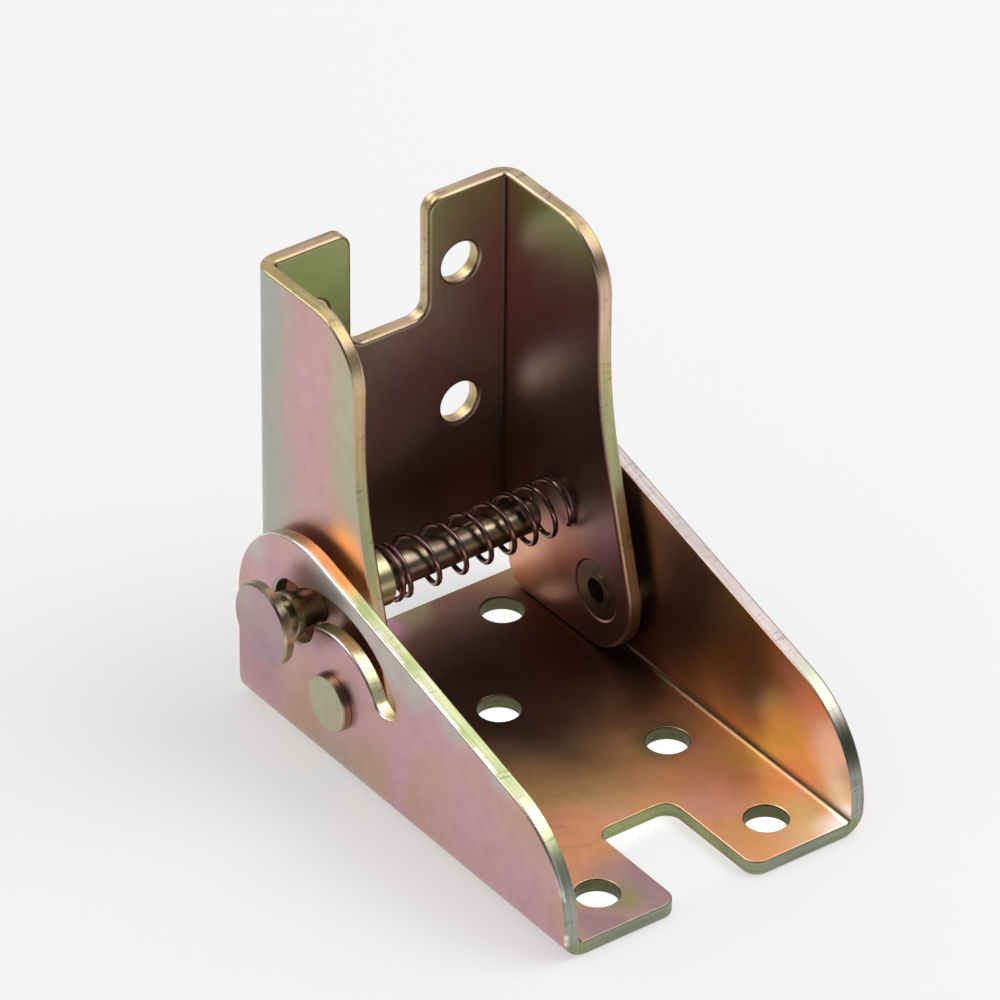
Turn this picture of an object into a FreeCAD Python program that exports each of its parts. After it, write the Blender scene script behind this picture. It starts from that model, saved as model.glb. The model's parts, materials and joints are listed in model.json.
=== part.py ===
# Folding leg hinge: a folded base bracket, a folded leg bracket that swings between its
# flanges on two rivets, and a sprung lock pin that rests in a keyhole of one flange.
# Millimetres. +X runs towards the long front end of the base, -Y is the button's side,
# +Z is up. The origin is at the centre of the base's underside.

import FreeCAD, Part
import math
import os
from FreeCAD import Vector

# Sheet and clearances; a blank's edges are rounder on the side that the punch enters
sheet = 2.0
running_clearance = 0.1
rivet_clearance = 0.05
face_play = 0.05
base_inner_edge_round = 0.2
base_outer_edge_round = 0.4
leg_inner_edge_round = 0.5
leg_outer_edge_round = 0.3
overshoot = 5.0
square_tolerance = 30.0

# Base bracket
base_length = 65.0
base_bend_inner_radius = 0.7
base_bend_outer_radius = 3.2
flange_rear_height = 32.7
flange_front_height = 14.7
dome_radius = 13.0
nose_straight = 0.9
base_notch_width = 10.8
base_notch_depth = 16.0

# Screw holes, the same in both brackets
screw_hole_diameter = 5.3
floor_row_spacing = 24.6
front_row_setback = 6.5
front_row_pitch = 19.0
rear_row_setback = 6.6
centre_hole_setback = 22.7

# Notch corners, the same in both brackets
notch_inner_radius = 2.0
notch_mouth_radius = 2.0

# Pivot
pivot_setback = 19.5
pivot_height = 10.4
rivet_shank_diameter = 5.0
rivet_head_diameter = 7.3
rivet_head_thickness = 1.0
rivet_head_bevel = 0.15
countersink_diameter = 8.2
countersink_depth = 1.0
rivet_tail_recess = 0.15
rivet_lip_diameter = 4.8
rivet_lip_height = 0.15
rivet_tail_bore = 3.2
rivet_tail_bore_depth = 3.2
washer_diameter = 10.0

# Leg bracket
leg_width = 37.2
leg_side_gap = 1.2
leg_height = 59.6
leg_overhang = 1.3
leg_bend_inner_radius = 0.5
leg_bend_outer_radius = 3.0
leg_flange_depth = 20.6
leg_corner_radius = 8.0
leg_knee_height = 37.0
leg_flare_angle = 15.0
leg_flare_reach = 8.0
leg_toe_radius = 8.5
leg_heel_radius = 3.5
leg_floor_gap = 0.1
web_bottom_height = 8.5
web_relief_radius = 1.0
leg_notch_width = 11.1
leg_notch_depth = 16.0
web_left_column = 11.3
web_right_column = 10.2
web_top_setback = 10.1
web_row_pitch = 19.8

# Keyhole of the lock, in polar form about the pivot
keyhole_land = 3.0
lock_angle = 135.0
slot_end_angle = 30.0
slot_width = 4.8
keyhole_diameter = 8.0

# Lock pin, its collar and its spring
button_diameter = 10.4
button_thickness = 1.2
button_bevel = 0.25
button_gap = 3.5
neck_diameter = 3.8
neck_ring_width = 0.5
neck_ring_gap = 0.4
shoulder_diameter = 5.7
shoulder_bevel = 0.1
rod_diameter = 4.4
rod_end_gap = 3.4
rod_end_bevel = 0.5
collar_diameter = 7.1
collar_length = 7.4
collar_bevel = 0.3
spring_diameter = 7.5
spring_wire = 0.7
spring_closed_pitch = 0.875
spring_near_turns = 1.5
spring_active_turns = 6.75
spring_far_turns = 0.35
spring_pitch_taper = 0.5
spring_start_angle = 195.0
points_per_turn = 16

# Places that follow from the sizes above
base_rear = -base_length / 2
base_front = base_length / 2
pivot_x = base_rear + pivot_setback
leg_outer = leg_width / 2
leg_inner = leg_outer - sheet
base_inner = leg_outer + leg_side_gap
base_outer = base_inner + sheet
base_width = 2 * base_outer
flange_fall = (flange_rear_height - flange_front_height) / base_length
leg_back = base_rear - leg_overhang
leg_front = leg_back + leg_flange_depth
leg_bottom = sheet + leg_floor_gap
barrel_diameter = slot_width - 2 * running_clearance
shoulder_width = leg_side_gap - 2 * face_play
lock_radius = flange_rear_height - flange_fall * pivot_setback - pivot_height - slot_width / 2 - keyhole_land
lock_x = pivot_x + lock_radius * math.cos(math.radians(lock_angle))
lock_height = pivot_height + lock_radius * math.sin(math.radians(lock_angle))


def side(u, v):
    """A point of a side view: u along X, v up."""
    return Vector(u, 0, v)


def plan(u, v):
    """A point of a plan view: u along X, v along Y."""
    return Vector(u, v, 0)


def front(u, v):
    """A point of a front view: u along Y, v up."""
    return Vector(0, u, v)


def rounded_face(corners, view):
    """A face whose corners (u, v, radius) are rounded by arcs tangent to both sides."""
    places = [Vector(u, v, 0) for u, v, radius in corners]
    edges = []
    start = None
    last = None
    for i, (u, v, radius) in enumerate(corners):
        here = places[i]
        before = (places[i - 1] - here).normalize()
        after = (places[(i + 1) % len(places)] - here).normalize()
        if radius > 0:
            half = before.getAngle(after) / 2
            reach = radius / math.tan(half)
            middle = (before + after).normalize()
            into = here + before * reach
            out = here + after * reach
            crown = here + middle * (radius / math.sin(half) - radius)
            arc = Part.Arc(view(into.x, into.y), view(crown.x, crown.y), view(out.x, out.y)).toShape()
        else:
            into = here
            out = here
            arc = None
        if last is None:
            start = into
        else:
            edges.append(Part.makeLine(view(last.x, last.y), view(into.x, into.y)))
        if arc is not None:
            edges.append(arc)
        last = out
    edges.append(Part.makeLine(view(last.x, last.y), view(start.x, start.y)))
    return Part.Face(Part.Wire(edges))


def cylinder_y(radius, y_from, y_to, x, z):
    """A round bar along Y."""
    return Part.makeCylinder(radius, y_to - y_from, Vector(x, y_from, z), Vector(0, 1, 0))


def turned(profile, x, z):
    """A turned piece: (distance along Y, radius) points revolved about a line along Y."""
    outline = [(profile[0][0], 0.0)] + profile + [(profile[-1][0], 0.0)]
    points = [Vector(radius, along, 0) for along, radius in outline]
    face = Part.Face(Part.makePolygon(points + points[:1]))
    solid = face.revolve(Vector(0, 0, 0), Vector(0, 1, 0), 360)
    solid.translate(Vector(x, 0, z))
    return solid


def arc_radius(reach, angle):
    """The radius of an arc that meets both sides of a corner at the same reach from it."""
    return reach * math.tan(angle / 2)


def channel_section(width, depth, inner_radius, outer_radius, view):
    """The U section of a folded channel, its floor at v = 0 and its flanges up to v = depth."""
    half = width / 2
    return rounded_face([
        (-half, depth, 0),
        (-half, 0, outer_radius),
        (half, 0, outer_radius),
        (half, depth, 0),
        (half - sheet, depth, 0),
        (half - sheet, sheet, inner_radius),
        (-half + sheet, sheet, inner_radius),
        (-half + sheet, depth, 0),
    ], view)


def notch_face(width, depth, edge, view):
    """A slot open at u = edge, with rounded inner corners and rounded lips."""
    half = width / 2
    lip_end = half + notch_mouth_radius + overshoot
    return rounded_face([
        (edge + overshoot, -lip_end, 0),
        (edge, -lip_end, 0),
        (edge, -half, notch_mouth_radius),
        (edge - depth, -half, notch_inner_radius),
        (edge - depth, half, notch_inner_radius),
        (edge, half, notch_mouth_radius),
        (edge, lip_end, 0),
        (edge + overshoot, lip_end, 0),
    ], view)


def middle_of(edge):
    """The point halfway along an edge."""
    return edge.valueAt((edge.FirstParameter + edge.LastParameter) / 2)


def is_sheared(solid, edge):
    """True where a cut face meets a face of the sheet, which it does at a right angle."""
    faces = solid.ancestorsOfType(edge, Part.Face)
    if len(faces) != 2:
        return False
    middle = middle_of(edge)
    normals = []
    for face in faces:
        u, v = face.Surface.parameter(middle)
        normals.append(face.normalAt(u, v))
    return abs(normals[0].dot(normals[1])) < math.sin(math.radians(square_tolerance))


def crosses_sheet(edge, depth_in_sheet):
    """True where an edge runs through the sheet, from its one side to its other."""
    ends = [depth_in_sheet(edge.valueAt(at)) for at in (edge.FirstParameter, edge.LastParameter)]
    return abs(ends[0] - ends[1]) > sheet / 2


def soften(solid, depth_in_sheet, inner_round, outer_round):
    """Rounds the sheared edges on the sheet's inner side, then those on its outer side."""
    for radius, wants_outer in ((inner_round, False), (outer_round, True)):
        edges = []
        for edge in solid.Edges:
            is_outer = depth_in_sheet(middle_of(edge)) > sheet / 4
            is_rim = is_sheared(solid, edge) and not crosses_sheet(edge, depth_in_sheet)
            if is_rim and is_outer == wants_outer:
                edges.append(edge)
        solid = solid.makeFillet(radius, edges)
    return solid


def keyhole():
    """The lock's keyhole: a round hole with an arc slot that follows the pin as the leg folds."""
    inner = lock_radius - slot_width / 2
    outer = lock_radius + slot_width / 2

    def polar(radius, degrees):
        angle = math.radians(degrees)
        return Vector(pivot_x + radius * math.cos(angle), -base_outer - overshoot,
                      pivot_height + radius * math.sin(angle))

    middle = (lock_angle + slot_end_angle) / 2
    tip = polar(lock_radius, slot_end_angle)
    end_normal = math.radians(slot_end_angle - 90)
    end_middle = tip + Vector(math.cos(end_normal), 0, math.sin(end_normal)) * (slot_width / 2)
    edges = [
        Part.Arc(polar(outer, lock_angle), polar(outer, middle), polar(outer, slot_end_angle)).toShape(),
        Part.Arc(polar(outer, slot_end_angle), end_middle, polar(inner, slot_end_angle)).toShape(),
        Part.Arc(polar(inner, slot_end_angle), polar(inner, middle), polar(inner, lock_angle)).toShape(),
        Part.makeLine(polar(inner, lock_angle), polar(outer, lock_angle)),
    ]
    slot = Part.Face(Part.Wire(edges)).extrude(Vector(0, sheet + 2 * overshoot, 0))
    hole = cylinder_y(keyhole_diameter / 2, -base_outer - overshoot, -base_inner + overshoot,
                      lock_x, lock_height)
    return slot.fuse(hole)


def base_bracket():
    """The folded base: a floor with two tall flanges, one of them with the keyhole."""
    section = channel_section(base_width, flange_rear_height, base_bend_inner_radius,
                              base_bend_outer_radius, front)
    section.translate(Vector(base_rear, 0, 0))
    folded = section.extrude(Vector(base_length, 0, 0))
    nose_angle = math.pi / 2 + math.atan(flange_fall)
    nose_reach = flange_front_height - base_bend_outer_radius - nose_straight
    outline = rounded_face([
        (base_rear, 0, 0),
        (base_rear, flange_rear_height, dome_radius),
        (base_front, flange_front_height, arc_radius(nose_reach, nose_angle)),
        (base_front, 0, 0),
    ], side)
    outline.translate(Vector(0, -base_width, 0))
    body = folded.common(outline.extrude(Vector(0, 2 * base_width, 0)))
    notch = notch_face(base_notch_width, base_notch_depth, base_front, plan)
    notch.translate(Vector(0, 0, -overshoot))
    body = body.cut(notch.extrude(Vector(0, 0, sheet + 2 * overshoot)))
    row = floor_row_spacing / 2
    front_x = base_front - front_row_setback
    holes = [(base_rear + centre_hole_setback, 0.0)]
    for x in (front_x, front_x - front_row_pitch, base_rear + rear_row_setback):
        holes += [(x, -row), (x, row)]
    for x, y in holes:
        body = body.cut(Part.makeCylinder(screw_hole_diameter / 2, sheet + 2 * overshoot,
                                          Vector(x, y, -overshoot)))
    body = soften(body.cut(keyhole()), lambda p: max(abs(p.y) - base_inner, sheet - p.z),
                  base_inner_edge_round, base_outer_edge_round)
    bore = rivet_shank_diameter / 2 + rivet_clearance
    return body.cut(cylinder_y(bore, -base_width, base_width, pivot_x, pivot_height))


def leg_bracket():
    """The folded leg: a web at the back, two flanges with a flared toe round the pivot."""
    heel = leg_back + leg_bend_outer_radius
    flare = math.radians(leg_flare_angle)
    toe = leg_front + math.tan(flare) * (leg_knee_height - leg_bottom)
    section = channel_section(leg_width, toe - leg_back, leg_bend_inner_radius, leg_bend_outer_radius,
                              lambda u, v: Vector(leg_back + v, u, 0))
    folded = section.extrude(Vector(0, 0, leg_height))
    outline = rounded_face([
        (leg_back - overshoot, leg_height, 0),
        (leg_front, leg_height, leg_corner_radius),
        (leg_front, leg_knee_height, arc_radius(leg_flare_reach, math.pi - flare)),
        (toe, leg_bottom, leg_toe_radius),
        (heel, leg_bottom, leg_heel_radius),
        (heel, web_bottom_height, web_relief_radius),
        (leg_back - overshoot, web_bottom_height, 0),
    ], side)
    outline.translate(Vector(0, -leg_width, 0))
    body = folded.common(outline.extrude(Vector(0, 2 * leg_width, 0)))
    notch = notch_face(leg_notch_width, leg_notch_depth, leg_height, lambda u, v: Vector(0, v, u))
    notch.translate(Vector(leg_back - overshoot, 0, 0))
    body = body.cut(notch.extrude(Vector(sheet + 2 * overshoot, 0, 0)))
    top_row = leg_height - web_top_setback
    for z in (top_row, top_row - web_row_pitch):
        for y in (-web_left_column, web_right_column):
            body = body.cut(Part.makeCylinder(screw_hole_diameter / 2, sheet + 2 * overshoot,
                                              Vector(leg_back - overshoot, y, z), Vector(1, 0, 0)))
    guide = barrel_diameter / 2 + running_clearance
    body = body.cut(cylinder_y(guide, -leg_width, 0, lock_x, lock_height))
    body = soften(body, lambda p: max(abs(p.y) - leg_inner, leg_back + sheet - p.x),
                  leg_inner_edge_round, leg_outer_edge_round)
    body = body.cut(cylinder_y(rivet_shank_diameter / 2, -leg_width, leg_width, pivot_x, pivot_height))
    for hand in (-1, 1):
        body = body.cut(turned([
            (hand * (leg_inner + countersink_depth), rivet_shank_diameter / 2),
            (hand * leg_inner, countersink_diameter / 2),
        ], pivot_x, pivot_height))
    return body


def pivot_rivet(hand):
    """A semi-tubular rivet: flat head outside the base flange, tail spread into the countersink."""
    head = base_outer + face_play
    shank = rivet_shank_diameter / 2
    bore = rivet_tail_bore / 2
    big = rivet_head_diameter / 2
    tail = leg_inner + rivet_tail_recess
    lip = tail - rivet_lip_height
    spread = (countersink_diameter - rivet_shank_diameter) / 2
    tail_radius = countersink_diameter / 2 - spread * rivet_tail_recess / countersink_depth
    profile = [
        (head + rivet_head_thickness, big - rivet_head_bevel),
        (head + rivet_head_thickness - rivet_head_bevel, big),
        (head, big),
        (head, shank),
        (leg_inner + countersink_depth, shank),
        (tail, tail_radius),
        (tail, rivet_lip_diameter / 2),
        (lip, rivet_lip_diameter / 2),
        (lip, bore),
        (lip + rivet_tail_bore_depth, bore),
    ]
    return turned([(hand * along, radius) for along, radius in profile], pivot_x, pivot_height)


def spacer_washer(hand):
    """The washer on the rivet's shank that fills the gap between the two flanges."""
    thin = leg_outer + face_play
    thick = base_inner - face_play
    low, high = sorted((hand * thin, hand * thick))
    ring = cylinder_y(washer_diameter / 2, low, high, pivot_x, pivot_height)
    return ring.cut(cylinder_y(rivet_shank_diameter / 2, low - sheet, high + sheet, pivot_x, pivot_height))


def lock_pin():
    """The button, a ringed neck, the barrel in the keyhole and the rod that carries the spring."""
    back = -base_outer - button_gap
    face = back - button_thickness
    big = button_diameter / 2
    neck = neck_diameter / 2
    barrel = barrel_diameter / 2
    rod = rod_diameter / 2
    end = leg_inner - rod_end_gap
    shoulder = shoulder_diameter / 2
    shoulder_start = -base_outer - face_play - shoulder_width
    shoulder_end = -base_outer - face_play
    profile = [
        (face, big - button_bevel),
        (face + button_bevel, big),
        (back, big),
        (back, neck),
    ]
    for ring in range(2):
        start = back + neck_ring_gap + ring * (neck_ring_width + neck_ring_gap)
        profile += [
            (start, neck),
            (start, barrel),
            (start + neck_ring_width, barrel),
            (start + neck_ring_width, neck),
        ]
    profile += [
        (shoulder_start, neck),
        (shoulder_start, shoulder - shoulder_bevel),
        (shoulder_start + shoulder_bevel, shoulder),
        (shoulder_end - shoulder_bevel, shoulder),
        (shoulder_end, shoulder - shoulder_bevel),
        (shoulder_end, barrel),
        (-leg_inner + face_play, barrel),
        (-leg_inner + face_play, rod),
        (end - rod_end_bevel, rod),
        (end, rod - rod_end_bevel),
    ]
    return turned(profile, lock_x, lock_height)


def pin_collar():
    """The collar on the rod: it stops the pin at the leg flange and seats the spring."""
    start = -leg_inner + face_play
    end = start + collar_length
    big = collar_diameter / 2
    profile = [
        (start, big - collar_bevel),
        (start + collar_bevel, big),
        (end - collar_bevel, big),
        (end, big - collar_bevel),
    ]
    ring = turned(profile, lock_x, lock_height)
    return ring.cut(cylinder_y(rod_diameter / 2, start - sheet, end + sheet, lock_x, lock_height))


def lock_spring():
    """The compression spring between the collar and the far flange: closed ends, wider pitch between."""
    start = -leg_inner + face_play + collar_length + face_play + spring_wire / 2
    end = leg_inner - face_play - spring_wire / 2
    coil = (spring_diameter - spring_wire) / 2
    turns = spring_near_turns + spring_active_turns + spring_far_turns
    rise = end - start - spring_closed_pitch * (spring_near_turns + spring_far_turns)
    steps = round(turns * points_per_turn)
    points = []
    for step in range(steps + 1):
        turn = turns * step / steps
        near = min(turn, spring_near_turns)
        far = max(turn - spring_near_turns - spring_active_turns, 0.0)
        share = (turn - near - far) / spring_active_turns
        tapered = share + spring_pitch_taper * (share - share * share) / 2
        along = start + spring_closed_pitch * (near + far) + rise * tapered
        angle = math.radians(spring_start_angle) - 2 * math.pi * turn
        points.append(Vector(lock_x + coil * math.cos(angle), along, lock_height + coil * math.sin(angle)))
    path = Part.BSplineCurve()
    path.interpolate(points)
    wire = Part.Wire(path.toShape())
    section = Part.Wire(Part.makeCircle(spring_wire / 2, points[0], path.tangent(path.FirstParameter)[0]))
    spring = wire.makePipeShell([section], True, True)
    print("spring volume against section times length",
          spring.Volume, math.pi * (spring_wire / 2) ** 2 * wire.Length)
    return spring


pieces = {
    "base_bracket": base_bracket(),
    "leg_bracket": leg_bracket(),
    "pivot_rivet_left": pivot_rivet(-1),
    "pivot_rivet_right": pivot_rivet(1),
    "spacer_washer_left": spacer_washer(-1),
    "spacer_washer_right": spacer_washer(1),
    "lock_pin": lock_pin(),
    "pin_collar": pin_collar(),
    "lock_spring": lock_spring(),
}

os.makedirs("parts", exist_ok=True)
for name, shape in pieces.items():
    shape.exportStep("parts/" + name + ".step")
    box = shape.BoundBox
    print(name, shape.isValid(), len(shape.Solids), round(shape.Volume, 1),
          [round(v, 2) for v in (box.XMin, box.YMin, box.ZMin, box.XMax, box.YMax, box.ZMax)])
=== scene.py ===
# Folding leg hinge in yellow-passivated zinc plate, on a pale floor under a soft overhead light.
# Metres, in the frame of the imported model: +X towards the base's long front end, -Y towards
# the button, +Z up, the floor at z = 0.

import bpy
import json
import math
from mathutils import Matrix, Vector


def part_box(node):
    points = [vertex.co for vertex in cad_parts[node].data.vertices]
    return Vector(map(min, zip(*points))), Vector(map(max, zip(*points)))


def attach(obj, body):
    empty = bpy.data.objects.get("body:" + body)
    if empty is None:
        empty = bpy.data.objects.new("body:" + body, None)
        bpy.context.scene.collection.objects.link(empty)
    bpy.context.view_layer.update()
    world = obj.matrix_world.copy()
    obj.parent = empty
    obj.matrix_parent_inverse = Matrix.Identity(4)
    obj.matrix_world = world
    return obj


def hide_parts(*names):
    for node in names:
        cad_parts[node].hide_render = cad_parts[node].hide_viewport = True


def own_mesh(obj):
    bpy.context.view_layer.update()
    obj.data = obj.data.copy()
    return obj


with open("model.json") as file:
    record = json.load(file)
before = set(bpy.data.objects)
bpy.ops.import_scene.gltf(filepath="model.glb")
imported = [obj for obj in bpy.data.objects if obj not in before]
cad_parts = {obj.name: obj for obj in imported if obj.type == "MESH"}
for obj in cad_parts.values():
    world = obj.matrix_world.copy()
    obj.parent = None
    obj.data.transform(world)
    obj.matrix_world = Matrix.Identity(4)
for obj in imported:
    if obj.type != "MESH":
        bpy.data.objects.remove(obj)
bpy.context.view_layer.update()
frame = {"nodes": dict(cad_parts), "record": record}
scene = bpy.context.scene

mm = 0.001

# Camera, at the photograph's viewing angle
view_target = Vector((-6.41 * mm, -2.64 * mm, 34.92 * mm))
view_azimuth = 53.39
view_elevation = 34.54
view_roll = 0.474
view_distance = 1014.5 * mm
view_reach = 20.0
lens = 314.8
sensor = 36.0

# Floor and light: levels at which 1 is white
floor_half_width = 4.0
floor_colour = 0.62
floor_glow = 0.431
floor_through_holes = 0.5
floor_in_notch = 0.1
key_power = 6.0
key_size = 0.9
key_place = (0.35, 0.65, 1.15)
key_aim = (0.0, 0.0, 0.02)
room_level = 0.55
backdrop_level = 0.9
dome_rear = 0.5
dome_side = 0.2
dome_dark = 0.05
dark_aim = (0.66, -0.49, 0.57)
panel_right = 1.5
panel_left = 4.3

# Where the room's parts fade out and in, as parts of the direction looked in
horizon = (0.0, 0.08)
panel_foot = (0.60, 0.72)
panel_head = (0.97, 0.88)
panel_front = (-0.05, -0.3)
panel_ends = (0.4, -0.5)
dome_front = (0.1, -0.4)
dark_edge = (0.5, 0.9)

# White patch of floor under the base: how far inside its edges it fades in, and where the notch dims it
patch_side = (1.5 * mm, 5.0 * mm)
patch_ends = (0.5 * mm, 4.0 * mm)
notch_side = (7.5 * mm, 4.5 * mm)
notch_start = (13.0 * mm, 20.0 * mm)

# Sheet of the two brackets and reach of its masks
sheet = 2.0 * mm
mask_blend = 0.3 * mm
sheared_turn = (0.75, 0.45)
end_turn = (0.3, 0.7)
inner_turn = (0.2, 0.6)
cap_turn = (0.7, 0.95)
cap_depth = 0.3 * mm

# Patches of tone: how far they wander, and the part of a spot's reach that has its full tone
drift_reach = 9.0 * mm
drift_scale = 60.0
bracket_patches = 34.0
pin_patches = 150.0
base_edge_patches = 150.0
floor_edge_patches = 120.0
leg_edge_patches = 75.0
spot_core = 0.2

# Fine detail of the surface: noise scales, and shares of tone and height
mottle_scale = 420.0
mottle_levels = (0.93, 1.03)
scratch_scale = 110.0
scratch_area_scale = 80.0
scratch_share = 0.16
crack_scale = 1300.0
crack_area_scale = 230.0
crack_shade = 0.28
crack_height = 0.6
line_scale = 2400.0
line_stretch = 0.03
line_shade = 0.2
line_height = 0.5
torn_level = 0.84
# noise that breaks up the burr's painted highlight
burr_highlight_scale = 300.0
rolling_scale = 260.0
rolling_height = 0.75
grain_scale = 2600.0
grain_height = 0.1
gloss_scale = 90.0
gloss_range = (-0.03, 0.05)
bump_strength = 0.35
bump_distance = 0.02 * mm

# Spring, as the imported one
spring_wire = 0.7 * mm
spring_closed_pitch = 0.875 * mm
spring_near_turns = 1.5
spring_active_turns = 6.75
spring_far_turns = 0.35
spring_pitch_taper = 0.5
spring_start_angle = 195.0
spring_points_per_turn = 24

# Tones of the outer faces
mauve = (0.64, 0.38, 0.43)
dusk_mauve = (0.54, 0.31, 0.37)
rose = (0.64, 0.40, 0.37)
rose_mauve = (0.64, 0.39, 0.40)
gold_rose = (0.60, 0.39, 0.28)
grey_green = (0.45, 0.41, 0.35)
pale_grey_green = (0.44, 0.46, 0.38)
warm_grey = (0.58, 0.54, 0.49)
flank_olive = (0.53, 0.48, 0.33)
# painted reflection: a warm orange glow where the dome's top edge and the leg's flank above the gap reflect
# each other's lit faces
reflected_glow_orange = (0.92, 0.52, 0.24)

# Tones inside the base: film tones, lighter towards the front as painted light and darker towards the rear as
# painted shade, and the brown of scratches
bright_gold = (0.88, 0.59, 0.24)
bright_copper = (0.88, 0.46, 0.22)
bright_pink = (0.90, 0.48, 0.38)
# painted light: the near-white glow on the nose of the base's right flange
painted_light_peach = (0.98, 0.90, 0.86)
soft_gold = (0.74, 0.59, 0.37)
flame = (0.99, 0.46, 0.25)
plum = (0.54, 0.26, 0.38)
deep_mauve = (0.47, 0.30, 0.32)
ring_olive = (0.38, 0.34, 0.17)
olive_brown = (0.60, 0.35, 0.17)
shade_olive = (0.29, 0.23, 0.13)
shade_brown = (0.20, 0.10, 0.075)
dark_copper = (0.36, 0.18, 0.11)
shade_mid_brown = (0.32, 0.18, 0.11)
# painted shade in the inner corner of the base's bends
base_crease_shade = (0.22, 0.15, 0.08)
scratch_brown = (0.12, 0.08, 0.05)

# Tones inside the leg: film tones darkened as painted shade inside the channel, with painted light on the toe
web_brown = (0.38, 0.28, 0.25)
web_red = (0.40, 0.22, 0.22)
web_olive = (0.36, 0.36, 0.17)
tab_olive = (0.34, 0.42, 0.16)
# painted light: a lit copper patch and a brighter glow on the toe of the leg's right flange
toe_lit_copper = (0.62, 0.27, 0.18)
toe_painted_light = (0.92, 0.50, 0.34)
# painted shade in the inner corner of the leg's bends
leg_crease_shade = (0.12, 0.08, 0.07)

# Tones of the sheared faces
shear_shade = (0.30, 0.33, 0.16)
shear_olive = (0.38, 0.41, 0.18)
shear_front = (0.28, 0.30, 0.23)
# painted shade on the walls of the floor's screw holes
shear_hole_shade = (0.15, 0.15, 0.08)
shear_nose = (0.36, 0.38, 0.33)
# painted highlight on the sheared nose of the base's right flange
shear_nose_highlight = (0.60, 0.64, 0.48)
shear_nose_dark = (0.17, 0.19, 0.13)
shear_green = (0.50, 0.56, 0.24)
shear_pale = (0.70, 0.74, 0.42)
shear_yellow = (0.80, 0.80, 0.52)
# the yellow sheared face of the slot's wall, lightened to cream as a painted highlight
shear_cream_highlight = (0.92, 0.84, 0.52)
shear_rose = (0.68, 0.52, 0.46)
shear_grey = (0.62, 0.55, 0.52)
shear_rose_grey = (0.70, 0.58, 0.56)
# painted highlight: a near-white line along the burr at the outer edge of the button-side flange
burr_highlight_cream = (0.95, 0.93, 0.84)
leg_gold = (0.58, 0.46, 0.22)
leg_rose = (0.66, 0.46, 0.34)
leg_green = (0.42, 0.42, 0.22)
leg_pale = (0.72, 0.62, 0.38)

# Tones of the turned pieces and the spring
bronze = (0.36, 0.27, 0.20)
brown = (0.48, 0.34, 0.24)
olive = (0.40, 0.35, 0.21)
# painted reflection: yellow patches on the dark rod
rod_reflection_gold = (0.60, 0.49, 0.30)
rod_dark = (0.25, 0.19, 0.14)
neck_olive = (0.40, 0.38, 0.24)
collar_gold = (0.62, 0.52, 0.30)
rivet_green = (0.50, 0.50, 0.33)
rivet_blue = (0.42, 0.50, 0.46)
button_mauve = (0.50, 0.33, 0.35)
button_grey = (0.50, 0.42, 0.38)
button_plum = (0.46, 0.30, 0.36)
wire_dark = (0.30, 0.19, 0.18)
wire_pale = (0.46, 0.30, 0.29)


class Nodes:
    """A short way to build a node tree: each call adds one node and links what it is given."""

    def __init__(self, tree):
        self.tree = tree
        tree.nodes.clear()

    def add(self, kind, settings=None, **inputs):
        made = self.tree.nodes.new(kind)
        for key, value in (settings or {}).items():
            setattr(made, key, value)
        for key, value in inputs.items():
            self.give(made.inputs[key.replace("_", " ")], value)
        return made

    def give(self, socket, value):
        """Set a socket, or link it where the value comes from another node."""
        if isinstance(value, bpy.types.NodeSocket):
            self.tree.links.new(value, socket)
        else:
            socket.default_value = value

    def give_all(self, made, *values):
        for socket, value in zip(made.inputs, values):
            self.give(socket, value)

    def math(self, operation, *values):
        made = self.add("ShaderNodeMath", {"operation": operation})
        self.give_all(made, *values)
        return made.outputs[0]

    def both(self, first, second):
        """Two shares multiplied."""
        return self.math("MULTIPLY", first, second)

    def vector(self, operation, *values):
        """Vector maths, which gives a number for a distance or a dot product."""
        made = self.add("ShaderNodeVectorMath", {"operation": operation})
        self.give_all(made, *values)
        return made.outputs["Value" if operation in ("DISTANCE", "DOT_PRODUCT") else "Vector"]

    def split(self, vector):
        """A vector's three parts."""
        return self.add("ShaderNodeSeparateXYZ", Vector=vector).outputs

    def ramp(self, value, *stops):
        """A colour ramp of (place, colour) stops."""
        made = self.add("ShaderNodeValToRGB", Fac=value)
        elements = made.color_ramp.elements
        while len(elements) < len(stops):
            elements.new(1.0)
        for element, (place, colour) in zip(elements, stops):
            element.position = place
            element.color = (*colour, 1.0)
        return made.outputs["Color"]

    def between(self, value, low, high, to_low=0.0, to_high=1.0):
        """A soft step from one level at low to another at high."""
        made = self.add("ShaderNodeMapRange", {"interpolation_type": "SMOOTHSTEP"})
        self.give_all(made, value, low, high, to_low, to_high)
        return made.outputs["Result"]

    def mix(self, share, first, second, blend="MIX"):
        """Two colours mixed."""
        made = self.add("ShaderNodeMix", {"data_type": "RGBA", "blend_type": blend})
        self.give(made.inputs[0], share)
        for index, colour in ((6, first), (7, second)):
            linked = isinstance(colour, bpy.types.NodeSocket)
            self.give(made.inputs[index], colour if linked else (*colour, 1.0))
        return made.outputs[2]

    def choose(self, share, first, second):
        """Two numbers mixed."""
        made = self.add("ShaderNodeMix")
        for index, value in ((0, share), (2, first), (3, second)):
            self.give(made.inputs[index], value)
        return made.outputs[0]

    def noise(self, place, scale, detail=2.0, roughness=0.5, distortion=0.0):
        made = self.add("ShaderNodeTexNoise", Vector=place, Scale=scale, Detail=detail,
                        Roughness=roughness, Distortion=distortion)
        return made.outputs["Fac"]

    def stretched(self, place, scale):
        """The place scaled along each axis, for grain."""
        return self.add("ShaderNodeMapping", Vector=place, Scale=scale).outputs["Vector"]


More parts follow.
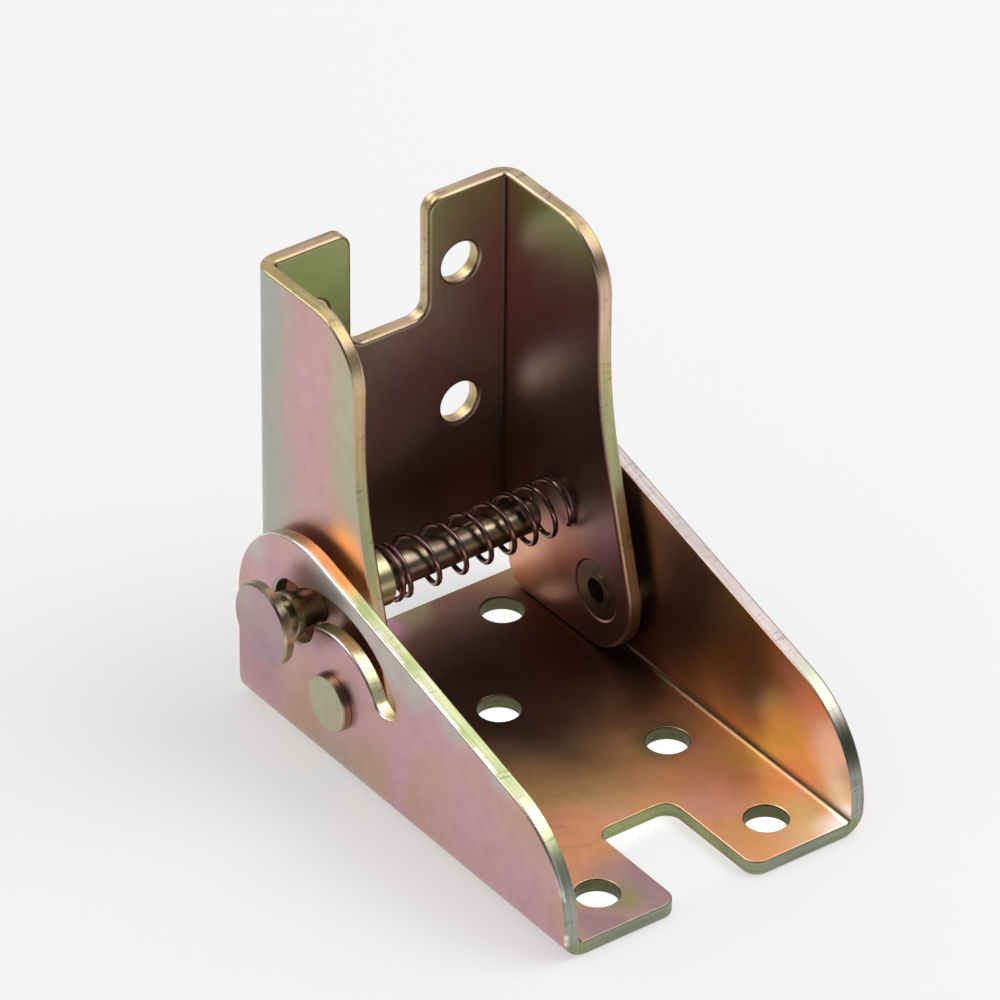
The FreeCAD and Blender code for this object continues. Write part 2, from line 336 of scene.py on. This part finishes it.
class Point:
    """The shaded point's place and normal, in the piece's own frame so that its tones turn with it."""

    def __init__(self, make):
        coordinates = make.add("ShaderNodeTexCoord")
        self.place = coordinates.outputs["Object"]
        self.at = dict(zip("XYZ", make.split(self.place)))
        self.side = make.math("ABSOLUTE", self.at["Y"])
        self.normal = dict(zip("XYZ", make.split(coordinates.outputs["Normal"])))
        self.facing = {axis: make.math("ABSOLUTE", part) for axis, part in self.normal.items()}


class FoldedSheet:
    """Masks for one bracket's faces. Its web faces the axis web and its flanges face Y, so no sheet
    face points along the axis free. Depth is counted from the web's outer face, at web_outer."""

    def __init__(self, web, free, web_outer, inner, outer, web_half, flange_depth, crease):
        self.web = web
        self.free = free
        self.web_outer = web_outer
        self.inner = inner
        self.outer = outer
        self.web_half = web_half
        self.flange_depth = flange_depth
        self.crease = crease

    def depth(self, make, point):
        return make.math("SUBTRACT", point.at[self.web], self.web_outer)

    def in_flange(self, make, point):
        return make.between(point.side, self.inner - 0.3 * mm, self.inner - 0.1 * mm)

    def inside(self, make, point):
        """1 on the faces that look into the channel, and not past the flanges' outer edges."""
        hand = make.math("SIGN", point.at["Y"])
        inward = make.both(make.both(point.normal["Y"], hand), -1.0)
        looking = make.between(make.math("MAXIMUM", inward, point.normal[self.web]), *inner_turn)
        return make.both(looking, make.between(point.side, self.outer - 0.4 * mm, self.outer - 0.8 * mm))

    def corner(self, make, point):
        """1 in the inner corners of the bends, where painted shade is laid."""
        beside = make.between(point.side, self.inner - self.crease, self.inner - self.crease / 2)
        low = make.between(self.depth(make, point), sheet + self.crease, sheet + self.crease / 2)
        return make.both(beside, low)

    def sheared(self, make, point):
        """1 on the sheet's ends, its flanges' edges and the walls of its web's holes and notch."""
        ends = make.between(point.facing[self.free], *end_turn)
        past_bend = make.between(self.depth(make, point), self.flange_depth, self.flange_depth + mask_blend)
        flange = make.both(self.in_flange(make, point), past_bend)
        edges = make.both(flange, make.between(point.facing["Y"], *sheared_turn))
        web = make.between(point.side, self.web_half, self.web_half - mask_blend)
        walls = make.both(web, make.between(point.facing[self.web], *sheared_turn))
        return make.math("MAXIMUM", ends, make.math("MAXIMUM", edges, walls))

    def torn(self, make, point, colour):
        """Colour and height of a sheared face: cracks across the sheet here and there, and faint lines
        along it."""
        across = make.noise(make.stretched(point.place, (1.0, 0.22, 1.0)), crack_scale, detail=3.0,
                            roughness=0.6, distortion=0.9)
        here = make.between(make.noise(point.place, crack_area_scale), 0.42, 0.62)
        cracks = make.both(make.between(across, 0.54, 0.62), here)
        waves = []
        for through in (self.web, "Y"):
            scale = [1.0 if axis == through else line_stretch for axis in "XYZ"]
            waves.append(make.noise(make.stretched(point.place, scale), line_scale, detail=3.0))
        lines = make.between(make.choose(self.in_flange(make, point), *waves), 0.35, 0.65)
        shade = make.math("SUBTRACT", make.both(lines, line_shade), make.both(cracks, crack_shade))
        height = make.math("SUBTRACT", make.both(lines, line_height), make.both(cracks, crack_height))
        return make.mix(1.0, colour, make.math("ADD", shade, torn_level), "MULTIPLY"), height


base = FoldedSheet(web="Z", free="X", web_outer=0.0, inner=19.8 * mm, outer=21.8 * mm,
                   web_half=18.6 * mm, flange_depth=3.1 * mm, crease=0.5 * mm)
leg = FoldedSheet(web="X", free="Z", web_outer=-33.8 * mm, inner=16.6 * mm, outer=18.6 * mm,
                  web_half=15.6 * mm, flange_depth=3.0 * mm, crease=0.6 * mm)


def tint(make, place, colour, spots):
    """The colour shifted softly towards a tone round each (x, y, z, reach, tone) spot, in millimetres."""
    for x, y, z, reach, tone in spots:
        away = make.vector("DISTANCE", place, (x * mm, y * mm, z * mm))
        colour = make.mix(make.between(away, reach * mm, spot_core * reach * mm), colour, tone)
    return colour


def film_with_spots(make, place, tones, spots, patch_scale):
    """Interference tones that drift softly over the surface, shifted towards the spots' tones, some of which
    are painted light and shade.
    """
    drift = make.between(make.noise(place, patch_scale, roughness=0.45), 0.3, 0.7)
    steps = [(i / (len(tones) - 1), tone) for i, tone in enumerate(tones)]
    return tint(make, place, make.ramp(drift, *steps), spots)


def drifted(make, place):
    """The place moved about, so that round spots become soft patches without leaving their places."""
    wander = make.add("ShaderNodeTexNoise", Vector=place, Scale=drift_scale, Detail=2.0)
    centred = make.vector("SUBTRACT", wander.outputs["Color"], (0.5, 0.5, 0.5))
    return make.vector("MULTIPLY_ADD", centred, (drift_reach, drift_reach, drift_reach), place)


def scuffs(make, place):
    """Fine wandering scratches, in patches."""
    wander = make.noise(place, scratch_scale, detail=3.0, roughness=0.55, distortion=1.1)
    near = make.math("ABSOLUTE", make.math("SUBTRACT", wander, 0.5))
    here = make.between(make.noise(place, scratch_area_scale), 0.48, 0.62)
    return make.both(make.between(near, 0.010, 0.002), here)


def base_edges(make, point):
    """The base's sheared faces: yellow-green on the button's side, pinkish grey on the other, olive below;
    with a painted reflection by the dome, painted highlights on the burr, the slot's wall and the nose, and
    painted shade in the screw holes.
    """
    left = film_with_spots(make, point.place, (shear_green, shear_pale, shear_yellow), [
        # the orange spots by the dome are a painted reflection; the cream spots on the slot's wall are a
        # painted highlight
        (-26, -20.8, 27, 7, shear_rose), (-18.5, -20.8, 29, 8, reflected_glow_orange),
        (-12, -20.8, 28.5, 3.5, reflected_glow_orange), (-8, -20.8, 19, 6, shear_cream_highlight), (-4, -20.8, 15, 5, shear_cream_highlight),
        (31.5, -20.8, 9, 6, shear_nose), (33, -20.8, 3, 7, shear_nose)], base_edge_patches)
    # A near-white painted highlight along the burr at the flange's outer edge, broken here and there.
    burr_highlight = make.between(make.both(point.at["Y"], -1.0), base.outer - 0.62 * mm, base.outer - 0.5 * mm)
    broken = make.between(make.noise(point.place, burr_highlight_scale), 0.4, 0.55)
    left = make.mix(make.both(burr_highlight, broken), left, burr_highlight_cream)
    right = film_with_spots(make, point.place, (shear_grey, shear_rose_grey, shear_grey), [
        # the pale spot by the nose is a painted highlight
        (25, 20.8, 17, 6, shear_nose_highlight), (31, 20.8, 11, 6, shear_nose_dark), (33, 20.8, 4, 7, shear_nose)],
        base_edge_patches)
    flanges = make.mix(make.between(point.at["Y"], -mm, mm), left, right)
    screw_holes = [(x, y) for x in (7, 26, -25.9) for y in (-12.3, 12.3)] + [(-9.8, 0)]
    # The walls of the screw holes are darkened as painted shade.
    floor = film_with_spots(make, point.place, (shear_shade, shear_olive, shear_shade), [
        (33, -12, 1, 12, shear_front), (33, 12, 1, 12, shear_front)]
        + [(x, y, 1, 8, shear_hole_shade) for x, y in screw_holes], floor_edge_patches)
    return make.mix(make.between(point.at["Z"], 2.7 * mm, 2.0 * mm), flanges, floor)


def leg_edges(make, point):
    """The leg's sheared faces: soft gold, rose and pale green."""
    return film_with_spots(make, point.place, (leg_gold, leg_rose, leg_gold, leg_rose, leg_pale), [
        (-16, 17.6, 52, 8, leg_rose), (-10, 17.6, 32, 14, leg_green), (-10, -17.6, 34, 12, leg_green)],
        leg_edge_patches)


def plated(name, tones, roughness=0.35, spots=(), patch_scale=30.0, bracket=None, cap=None):
    """Yellow-passivated zinc on steel. A bracket also has bracket = (its folded sheet, inner tones, inner
    spots, painted shade of its inner corners, colour function of its sheared faces), and a turned piece with a
    flat outer face cap = (that face's |y|, tone, spots). The brackets' inner tones and spots hold painted
    light and shade."""
    material = bpy.data.materials.new(name)
    material.use_nodes = True
    make = Nodes(material.node_tree)
    point = Point(make)
    drifting = drifted(make, point.place)
    colour = film_with_spots(make, drifting, tones, spots, patch_scale)
    if bracket is not None:
        folded, inner_tones, inner_spots, crease_shade_tone, edges = bracket
        # The inside tones hold painted light and painted shade: lit towards the base's front, shaded deep in
        # the channels.
        inside = folded.inside(make, point)
        colour = make.mix(inside, colour, film_with_spots(make, drifting, inner_tones, inner_spots, patch_scale))
        # Painted shade in the inner corners of the bends.
        colour = make.mix(make.both(inside, folded.corner(make, point)), colour, crease_shade_tone)
        scratched = make.both(inside, scuffs(make, point.place))
        colour = make.mix(make.both(scratched, scratch_share), colour, scratch_brown)
    if cap is not None:
        cap_side, cap_tone, cap_spots = cap
        reach = cap_side - cap_depth
        on_cap = make.both(make.between(point.facing["Y"], *cap_turn),
                           make.between(point.side, reach - cap_depth / 2, reach))
        colour = make.mix(on_cap, colour, tint(make, drifting, cap_tone, cap_spots))
    mottle = make.between(make.noise(point.place, mottle_scale, detail=4.0, roughness=0.6), 0.25, 0.75,
                          *mottle_levels)
    colour = make.mix(1.0, colour, mottle, "MULTIPLY")

    rolling = make.noise(point.place, rolling_scale, detail=3.0, roughness=0.55)
    grain = make.noise(point.place, grain_scale, detail=3.0, roughness=0.6)
    height = make.math("ADD", make.both(rolling, rolling_height), make.both(grain, grain_height))
    rough = make.between(make.noise(point.place, gloss_scale, detail=4.0, roughness=0.6), 0.3, 0.7,
                         *(roughness + change for change in gloss_range))
    if bracket is not None:
        sheared = folded.sheared(make, point)
        shorn, shorn_height = folded.torn(make, point, edges(make, point))
        colour = make.mix(sheared, colour, shorn)
        height = make.math("ADD", height, make.both(sheared, shorn_height))
    bump = make.add("ShaderNodeBump", Strength=bump_strength, Distance=bump_distance, Height=height)
    shader = make.add("ShaderNodeBsdfPrincipled", Base_Color=colour, Metallic=1.0, Roughness=rough,
                      Normal=bump.outputs["Normal"])
    make.add("ShaderNodeOutputMaterial", Surface=shader.outputs["BSDF"])
    return material


base_outer_spots = [
    (-20, -21.8, 8, 12, rose), (12, -21.8, 4, 10, rose), (16, -21.8, 9, 7, mauve),
    (-7, -21.8, 5, 7, gold_rose), (-29, -21.8, 8, 9, dusk_mauve), (-18, -21.8, 4, 8, gold_rose),
    (-28, -21.8, 25, 4, warm_grey), (-13, -21.8, 27, 8, warm_grey), (-8, -21.8, 26, 6, warm_grey),
    (-2, -21.8, 24, 5, warm_grey), (4, -21.8, 23, 6, warm_grey), (12, -21.8, 21, 5, warm_grey),
    (20, -21.8, 18, 4, warm_grey), (-14, -21.8, 0, 8, grey_green)]
# Inside the base's floor: gold and copper towards the front as painted light, olive and brown towards the rear
# as painted shade, other spots film hues
base_floor_spots = [
    (9, -6, 2, 10, bright_gold), (13, 6, 2, 9, bright_copper), (1, -2, 2, 17, olive_brown),
    (-7, 2, 2, 14, shade_olive), (-14, 4, 2, 21, shade_brown), (-24, 8, 4, 26, shade_brown),
    (-32, -16, 2, 7, plum), (-32, -10, 2, 7, plum), (-32, -4, 2, 6, plum), (-32, 2, 2, 5, shade_olive),
    (20, 9.6, 2, 6, bright_pink), (15, -8, 2, 7, flame), (15, 17.4, 3, 6, bright_gold),
    (28, 15, 2, 8, soft_gold), (20, -11, 2, 9, flame), (30, -7, 2, 10, deep_mauve),
    (32, -16, 2, 7, deep_mauve), (7, 12.3, 2, 5, ring_olive), (28, -11, 2, 4, ring_olive)]
# Inside the right flange: brown towards the rear as painted shade, gold and peach towards the nose as painted
# light
base_flange_spots = [
    (-4, 19.8, 14, 24, shade_mid_brown), (14, 19.8, 11, 9, dark_copper), (20.7, 19.8, 6.5, 7, bright_gold),
    (28, 19.8, 9, 7, painted_light_peach), (32, 19.8, 3, 5, painted_light_peach)]
leg_outer_spots = (
    [(-34, -18.6, z, 12, pale_grey_green) for z in (26, 33, 40, 47, 54, 61)]
    + [(-13.5, -18.6, z, 7, flank_olive) for z in (36, 41, 46, 51, 56)]
    # the orange spot on the flank just above the gap is a painted reflection of the base's lit top edge
    + [(-14, -18.6, 28, 7, reflected_glow_orange), (-33.8, 10, 52, 13, dusk_mauve), (-33.8, 3, 22, 13, gold_rose),
       (-33.8, 17, 34, 10, pale_grey_green), (-33.8, -6, 38, 8, mauve), (-15, 18.6, 46, 12, gold_rose),
       (-12, 18.6, 20, 11, dusk_mauve), (-28, 18.6, 12, 10, flank_olive)])
# Inside the leg: olive and red-brown tones darkened as painted shade, copper spots on the toe as painted light
leg_inner_spots = [
    (-26, 0, 62, 26, web_olive), (-32, -12, 54, 12, tab_olive), (-20, 16.6, 60, 14, web_olive),
    (-20, 16.6, 9, 13, toe_lit_copper), (-27, 16.6, 8, 8, toe_painted_light), (-12, 16.6, 8, 8, web_red)]
rivet_face = -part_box("pivot_rivet_left")[0].y
button_face = -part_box("lock_pin")[0].y

materials = {
    "base_sheet": plated(
        "base_sheet_zinc", (mauve, mauve, rose, mauve, mauve, gold_rose), spots=base_outer_spots,
        patch_scale=bracket_patches,
        # the base's inner tones are lighter than its outer ones as painted light
        bracket=(base, (bright_gold, bright_copper, bright_pink, bright_copper, bright_gold),
                 base_floor_spots + base_flange_spots, base_crease_shade, base_edges)),
    "leg_sheet": plated(
        "leg_sheet_zinc", (rose, rose, rose_mauve, rose), spots=leg_outer_spots, patch_scale=bracket_patches,
        # the leg's inner tones are darker than its outer ones as painted shade
        bracket=(leg, (web_brown, web_red, web_brown), leg_inner_spots, leg_crease_shade, leg_edges)),
    "rivet": plated(
        "rivet_zinc", (bronze, brown), 0.3,
        cap=(rivet_face, rivet_green,
             [(-13.8, -23.3, 10.6, 1.6, rivet_blue), (-11.5, -23.3, 8.5, 3, gold_rose)])),
    "washer": plated("washer_zinc", (brown, olive), 0.35),
    "pin": plated(
        # the gold patches on the rod are painted reflections
        "pin_zinc", (rod_dark, rod_dark, bronze, rod_reflection_gold, rod_dark), 0.28,
        spots=[(-21, -23, 18.5, 7, neck_olive)], patch_scale=pin_patches,
        cap=(button_face, button_mauve,
             [(-24, -27, 21, 5, button_grey), (-18, -27, 14, 5, button_plum)])),
    "collar": plated("collar_zinc", (collar_gold, olive), 0.28),
    "spring_wire": plated("spring_wire_bronze", (wire_dark, wire_pale), 0.22),
}
slot_of = {part["node"]: part["material_slot"] for part in frame["record"]["subparts"]}
for name, node in frame["nodes"].items():
    node.data.materials.clear()
    node.data.materials.append(materials[slot_of[name]])


def coil_spring():
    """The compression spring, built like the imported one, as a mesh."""
    low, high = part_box("lock_spring")
    radius = (high.x - low.x - spring_wire) / 2
    middle_x = (low.x + high.x) / 2
    middle_z = (low.z + high.z) / 2
    start = low.y + spring_wire / 2
    end = high.y - spring_wire / 2
    turns = spring_near_turns + spring_active_turns + spring_far_turns
    rise = end - start - spring_closed_pitch * (spring_near_turns + spring_far_turns)
    steps = round(turns * spring_points_per_turn)
    curve = bpy.data.curves.new("lock_spring_coils", "CURVE")
    curve.dimensions = "3D"
    curve.bevel_depth = spring_wire / 2
    curve.bevel_resolution = 6
    curve.use_fill_caps = True
    line = curve.splines.new("POLY")
    line.points.add(steps)
    for step in range(steps + 1):
        turn = turns * step / steps
        near = min(turn, spring_near_turns)
        far = max(turn - spring_near_turns - spring_active_turns, 0.0)
        share = (turn - near - far) / spring_active_turns
        tapered = share + spring_pitch_taper * (share - share * share) / 2
        along = start + spring_closed_pitch * (near + far) + rise * tapered
        angle = math.radians(spring_start_angle) - 2 * math.pi * turn
        x = middle_x + radius * math.cos(angle)
        z = middle_z + radius * math.sin(angle)
        line.points[step].co = (x, along, z, 1.0)
    source = bpy.data.objects.new("lock_spring_coils", curve)
    scene.collection.objects.link(source)
    bpy.context.view_layer.update()
    mesh = bpy.data.meshes.new_from_object(source)
    bpy.data.objects.remove(source)
    mesh.polygons.foreach_set("use_smooth", [True] * len(mesh.polygons))
    mesh.materials.clear()
    mesh.materials.append(materials["spring_wire"])
    spring = bpy.data.objects.new("coil_spring", mesh)
    scene.collection.objects.link(spring)
    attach(spring, "leg")
    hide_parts("lock_spring")
    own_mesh(spring)


coil_spring()


def camera_rays(make):
    return make.add("ShaderNodeLightPath").outputs["Is Camera Ray"]


def seen_rays(make):
    """1 for what the camera sees straight, in metal or through glass."""
    path = make.add("ShaderNodeLightPath").outputs
    return make.math("MAXIMUM", path["Is Camera Ray"],
                     make.math("MAXIMUM", path["Is Glossy Ray"], path["Is Transmission Ray"]))


def pale_floor():
    """A wide pale floor that keeps the object's soft shadow, and shows white through the base's holes."""
    half = floor_half_width
    mesh = bpy.data.meshes.new("floor")
    square = [(-half, -half, 0), (half, -half, 0), (half, half, 0), (-half, half, 0)]
    mesh.from_pydata(square, [], [(0, 1, 2, 3)])
    floor = bpy.data.objects.new("floor", mesh)
    scene.collection.objects.link(floor)
    material = bpy.data.materials.new("floor_pale")
    material.use_nodes = True
    make = Nodes(material.node_tree)
    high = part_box("base_bracket")[1]
    at = make.split(make.add("ShaderNodeTexCoord").outputs["Object"])
    side = make.math("ABSOLUTE", at["Y"])
    along = make.math("ABSOLUTE", at["X"])
    under = make.both(make.between(side, *(high.y - inset for inset in patch_side)),
                      make.between(along, *(high.x - inset for inset in patch_ends)))
    notch = make.both(make.between(side, *notch_side), make.between(at["X"], *notch_start))
    patch = make.both(under, make.choose(notch, 1.0, floor_in_notch))
    shown = make.both(patch, camera_rays(make))
    glow = make.add("ShaderNodeEmission", Color=(1.0, 1.0, 0.995, 1.0),
                    Strength=make.math("ADD", make.both(shown, floor_through_holes), floor_glow))
    diffuse = make.add("ShaderNodeBsdfDiffuse", Color=(floor_colour, floor_colour, floor_colour, 1.0))
    seen = make.add("ShaderNodeMixShader")
    make.give(seen.inputs[0], seen_rays(make))
    make.give(seen.inputs[2], glow.outputs["Emission"])
    added = make.add("ShaderNodeAddShader")
    make.give_all(added, diffuse.outputs["BSDF"], seen.outputs["Shader"])
    make.add("ShaderNodeOutputMaterial", Surface=added.outputs["Shader"])
    mesh.materials.append(material)


pale_floor()


def key_light():
    """A square area lamp high at the rear, aimed at the object."""
    lamp = bpy.data.lights.new("key", "AREA")
    lamp.shape = "SQUARE"
    lamp.size = key_size
    lamp.energy = key_power
    holder = bpy.data.objects.new("key", lamp)
    holder.location = key_place
    holder.rotation_euler = (Vector(key_aim) - Vector(key_place)).to_track_quat("-Z", "Y").to_euler()
    scene.collection.objects.link(holder)


key_light()


def studio():
    """The room: a plain backdrop for the camera, a low horizon under a dimmer dome with one wide soft panel
    high at the rear in the metal's reflections, and an even level on the object."""
    world = bpy.data.worlds.new("studio")
    world.use_nodes = True
    make = Nodes(world.node_tree)
    direction = make.add("ShaderNodeTexCoord").outputs["Generated"]
    x, y, z = make.split(direction)
    front = make.between(make.vector("DOT_PRODUCT", direction, dark_aim), *dark_edge, dome_side, dome_dark)
    dome = make.between(x, *dome_front, front, dome_rear)
    height = make.both(make.between(z, *panel_foot), make.between(z, *panel_head))
    panel = make.both(height, make.between(x, *panel_front))
    panel_level = make.between(y, *panel_ends, panel_right, panel_left)
    above_floor = make.between(z, *horizon, backdrop_level, dome)
    mirrored = make.math("MAXIMUM", above_floor, make.both(panel, panel_level))
    level = make.choose(seen_rays(make), room_level, mirrored)
    shown = make.choose(camera_rays(make), level, backdrop_level)
    light = make.add("ShaderNodeBackground", Color=(1.0, 1.0, 1.0, 1.0), Strength=shown)
    make.add("ShaderNodeOutputWorld", Surface=light.outputs["Background"])
    scene.world = world


studio()

scene.view_settings.view_transform = "Standard"


def photograph_camera():
    """The camera that the photograph's outline was fitted with: a long lens from the front right."""
    azimuth = math.radians(view_azimuth)
    elevation = math.radians(view_elevation)
    back = Vector((math.sin(azimuth) * math.cos(elevation),
                   -math.cos(azimuth) * math.cos(elevation),
                   math.sin(elevation)))
    level_right = Vector((math.cos(azimuth), math.sin(azimuth), 0.0))
    right = Matrix.Rotation(math.radians(view_roll), 3, back) @ level_right
    up = back.cross(right)
    lens_data = bpy.data.cameras.new("camera")
    lens_data.sensor_width = sensor
    lens_data.lens = lens
    lens_data.clip_end = view_reach
    camera = bpy.data.objects.new("camera", lens_data)
    turned = Matrix((right, up, back)).transposed().to_4x4()
    camera.matrix_world = Matrix.Translation(view_target + back * view_distance) @ turned
    scene.collection.objects.link(camera)
    scene.camera = camera


photograph_camera()
